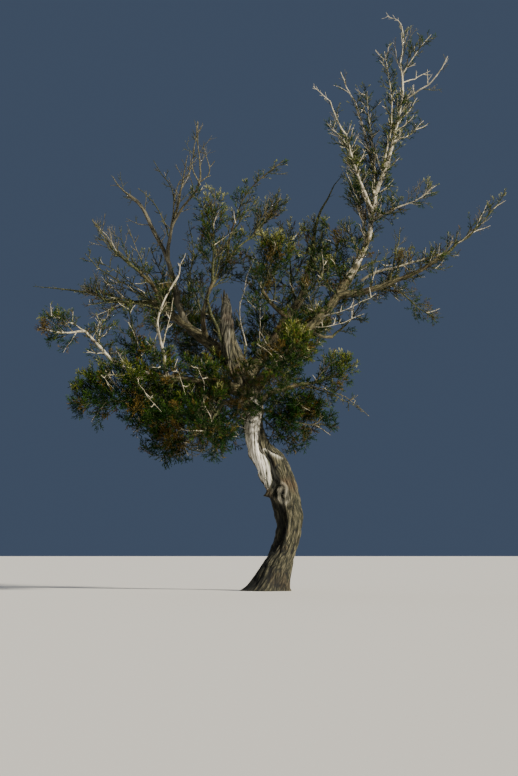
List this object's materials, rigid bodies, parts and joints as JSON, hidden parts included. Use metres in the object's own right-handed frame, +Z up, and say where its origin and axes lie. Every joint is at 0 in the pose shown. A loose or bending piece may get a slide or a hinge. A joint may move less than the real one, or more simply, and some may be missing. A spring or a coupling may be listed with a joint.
{
  "type": "windswept conifer tree",
  "caption": "Small windswept conifer with a twisted leaning trunk, bare silver limbs, dense low foliage and a tall leader that rises to one side.",
  "frame": {"origin": "the middle of the trunk's flat cut at ground level", "axes": "+Z up, +X towards the side that the tall leader leans to, -Y towards the viewer of the pictured side"},
  "size_m": [2.8571, 1.6245, 3.4808],
  "materials": {
    "bark": "rough stringy bark",
    "silver_wood": "weathered bare wood",
    "foliage": "matt evergreen sprays",
    "bare_twigs": "dry bare twigs"
  },
  "bodies": {
    "root": {"trunk": "bark", "bough_low_left": "bark", "bough_low_front": "bark", "bough_back_low": "bark", "bough_reach_left": "silver_wood", "bough_grey": "silver_wood", "bough_shadow": "bark", "bough_fan": "bark", "bough_antler": "silver_wood", "bough_antler_fork": "silver_wood", "bough_inner_upright": "bark", "bough_top": "bark", "bough_top_spike": "bark", "bough_centre": "bark", "bough_centre_left": "bark", "bough_leader_low": "bark", "bough_leader_high": "silver_wood", "bough_leader_right": "silver_wood", "bough_fork_left": "silver_wood", "bough_fork_far": "silver_wood", "bough_small_right": "silver_wood", "bough_long_right": "bark", "bough_drop_right": "bark", "bough_under_right": "bark", "bough_low_right": "bark", "bough_front_right": "bark", "bough_back_right": "bark", "bough_back_left": "bark", "foliage_low_left": "foliage", "foliage_under_left": "foliage", "foliage_low_front": "foliage", "foliage_back_low": "foliage", "foliage_far_left": "foliage", "foliage_fan_low": "foliage", "foliage_fan_high": "foliage", "twigs_antler_left": "bare_twigs", "twigs_antler_top": "bare_twigs", "twigs_antler_middle": "bare_twigs", "foliage_top_left": "foliage", "foliage_top_right": "foliage", "foliage_centre": "foliage", "foliage_centre_left": "foliage", "foliage_leader_top": "foliage", "twigs_leader_right": "bare_twigs", "foliage_fork_left": "foliage", "foliage_fork_far": "foliage", "foliage_leader_side": "foliage", "foliage_small_right": "foliage", "foliage_long_right": "foliage", "foliage_drop_right": "foliage", "foliage_under_right": "foliage", "twigs_right_upright": "bare_twigs", "foliage_low_right": "foliage", "foliage_droop_right": "foliage", "foliage_front_right": "foliage", "foliage_back_right": "foliage", "foliage_back_left": "foliage", "foliage_back_top": "foliage", "foliage_left_tuft": "foliage"}
  },
  "joints": []
}
